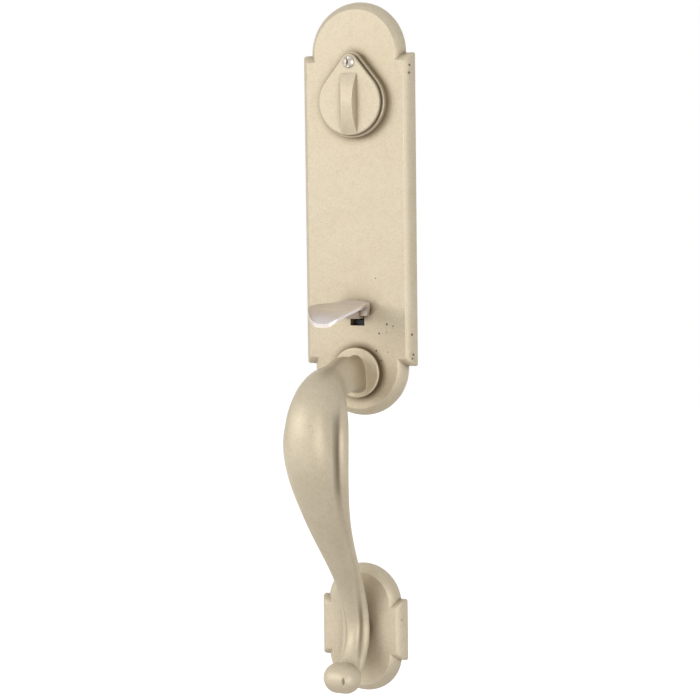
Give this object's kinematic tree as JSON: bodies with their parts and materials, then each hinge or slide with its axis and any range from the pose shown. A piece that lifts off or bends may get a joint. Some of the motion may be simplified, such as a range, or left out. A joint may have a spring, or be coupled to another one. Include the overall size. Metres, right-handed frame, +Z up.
{
  "type": "entry door handleset",
  "caption": "Outside half of an entry door handleset: arched cast bronze plate with swivel keyhole cover, thumb latch and curved grip down to a small rosette.",
  "frame": {"origin": "centre between the two mounting posts beside the latch bore, in the plane of the door face", "axes": "+Z up the door, +Y into the door, +X to the right seen from outside"},
  "size_m": [0.081, 0.1697, 0.4705],
  "materials": {
    "cast_bronze": "satin, sand cast",
    "thumb_bronze": "satin, worn smooth",
    "turned_brass": "machined",
    "bright_nickel": "polished",
    "zinc_steel": "zinc plated",
    "spring_steel": "spring steel",
    "black_steel": "black oxide"
  },
  "bodies": {
    "handleset": {"escutcheon_plate": "cast_bronze", "mounting_posts": "turned_brass", "grip_handle": "cast_bronze", "grip_washer": "zinc_steel", "grip_screw": "black_steel", "lower_rosette": "cast_bronze", "rosette_retaining_ring": "spring_steel", "cylinder_housing": "turned_brass", "cylinder_screws": "zinc_steel", "driver_pins": "turned_brass", "pin_springs": "spring_steel", "chamber_caps": "turned_brass", "cover_pivot_screw": "bright_nickel", "cover_spring_washer": "spring_steel", "latch_bracket": "black_steel", "bracket_screws": "zinc_steel", "thumb_pivot_pin": "zinc_steel", "pivot_spacers": "turned_brass", "thumb_return_spring": "spring_steel"},
    "swing_cover": {"keyhole_cover": "cast_bronze"},
    "lock_core": {"cylinder_plug": "turned_brass", "key_pins": "turned_brass", "plug_cap": "turned_brass", "tailpiece": "zinc_steel"},
    "thumb_lever": {"thumbpiece": "thumb_bronze"},
    "latch_drive": {"latch_cam": "turned_brass", "latch_spindle": "zinc_steel", "spindle_roll_pin": "spring_steel", "cam_clip": "spring_steel"}
  },
  "joints": [
    {"name": "cover_swing", "type": "hinge", "parent": "handleset", "child": "swing_cover", "pos_m": [0, -0.017, 0.1662], "axis": [0, 1, 0], "continuous": true},
    {"name": "key_turn", "type": "hinge", "parent": "handleset", "child": "lock_core", "pos_m": [0, 0, 0.1397], "axis": [0, 1, 0], "range_deg": [-90, 90]},
    {"name": "thumb_press", "type": "hinge", "parent": "handleset", "child": "thumb_lever", "pos_m": [0, 0.003, -0.0025], "axis": [1, 0, 0], "range_deg": [0, 15], "stiffness_Nm_per_rad": 0.3, "springref_deg": -20.05, "deforming": ["thumb_return_spring"]},
    {"name": "spindle_turn", "type": "hinge", "parent": "handleset", "child": "latch_drive", "pos_m": [0, 0.015, 0], "axis": [0, 1, 0], "range_deg": [-20, 0]}
  ],
  "couplings": [
    {"joint": "spindle_turn", "follows": "thumb_press", "ratio": -1.3333}
  ]
}
